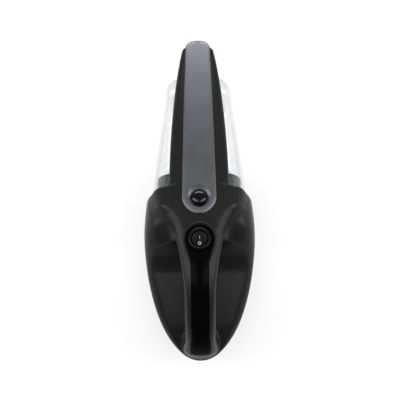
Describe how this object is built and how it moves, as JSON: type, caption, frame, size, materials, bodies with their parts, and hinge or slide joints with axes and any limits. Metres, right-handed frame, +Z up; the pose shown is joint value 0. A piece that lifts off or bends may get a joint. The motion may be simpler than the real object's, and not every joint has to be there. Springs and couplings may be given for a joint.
{
  "type": "handheld vacuum",
  "caption": "Cordless handheld vacuum: egg-shaped body with a looped handle, a spine over a clear slide-off dust bowl, and a narrow nozzle.",
  "frame": {"origin": "centre of the object's footprint, on the surface that its feet stand on", "axes": "+Y towards the nozzle, +X to the right seen from above with the nozzle ahead, +Z up"},
  "size_m": [0.117, 0.34, 0.1162],
  "materials": {
    "black_shell": "semi-gloss",
    "strip_grey": "satin, lighter towards the tip",
    "gloss_black": "high gloss",
    "button_black": "high gloss",
    "clear_plastic": "clear, polished",
    "dark_grey": "fine texture",
    "inner_black": "as moulded",
    "white_nylon": "as moulded",
    "acetal": "as moulded",
    "rubber": "matt",
    "filter_cloth": "felted",
    "steel": "bright",
    "motor_can": "zinc plated",
    "cell_wrap": "shrink sleeve",
    "board_green": "solder mask"
  },
  "bodies": {
    "body": {"housing_left": "black_shell", "housing_right": "black_shell", "top_strip": "strip_grey", "handle_inlay": "gloss_black", "button_bezel": "gloss_black", "button_spring": "steel", "latch_pin": "steel", "switch_body": "gloss_black", "filter_frame": "dark_grey", "filter_cup": "filter_cloth", "motor_bulkhead": "inner_black", "fan_shroud": "inner_black", "motor": "motor_can", "motor_ring": "rubber", "motor_cradle": "inner_black", "battery_cells": "cell_wrap", "battery_tray": "inner_black", "control_board": "board_green", "charge_jack": "inner_black", "housing_screws": "steel", "feet": "rubber"},
    "button": {"release_button": "button_black"},
    "latch": {"latch_lever": "acetal"},
    "rocker": {"switch_rocker": "button_black"},
    "rotor": {"impeller": "white_nylon", "motor_shaft": "steel"},
    "bowl": {"dust_bowl": "clear_plastic", "bowl_gasket": "rubber", "accessory_sleeve": "inner_black", "flap_pin": "steel"},
    "flap": {"flap_valve": "rubber"}
  },
  "joints": [
    {"name": "bowl_slide", "type": "slide", "parent": "body", "child": "bowl", "axis": [0, 0.9511, -0.309], "range_m": [0, 0.17]},
    {"name": "flap_hinge", "type": "hinge", "parent": "bowl", "child": "flap", "pos_m": [0, 0.13028, 0.0417], "axis": [-1, 0, 0], "range_deg": [0, 60]},
    {"name": "button_press", "type": "slide", "parent": "body", "child": "button", "axis": [0, -0.223, -0.9748], "range_m": [0, 0.0025], "stiffness_N_per_m": 500, "springref_m": -0.002, "deforming": ["button_spring"]},
    {"name": "latch_hinge", "type": "hinge", "parent": "body", "child": "latch", "pos_m": [0, -0.016, 0.0845], "axis": [-1, 0, 0], "range_deg": [0, 9.2]},
    {"name": "rocker_hinge", "type": "hinge", "parent": "body", "child": "rocker", "pos_m": [0, -0.03947, 0.10567], "axis": [-1, 0, 0], "range_deg": [0, 14]},
    {"name": "fan_spin", "type": "hinge", "parent": "body", "child": "rotor", "pos_m": [0, -0.035, 0.036], "axis": [0, 1, 0], "continuous": true}
  ],
  "couplings": [
    {"joint": "latch_hinge", "follows": "button_press", "rad_per_m": 62.1}
  ]
}
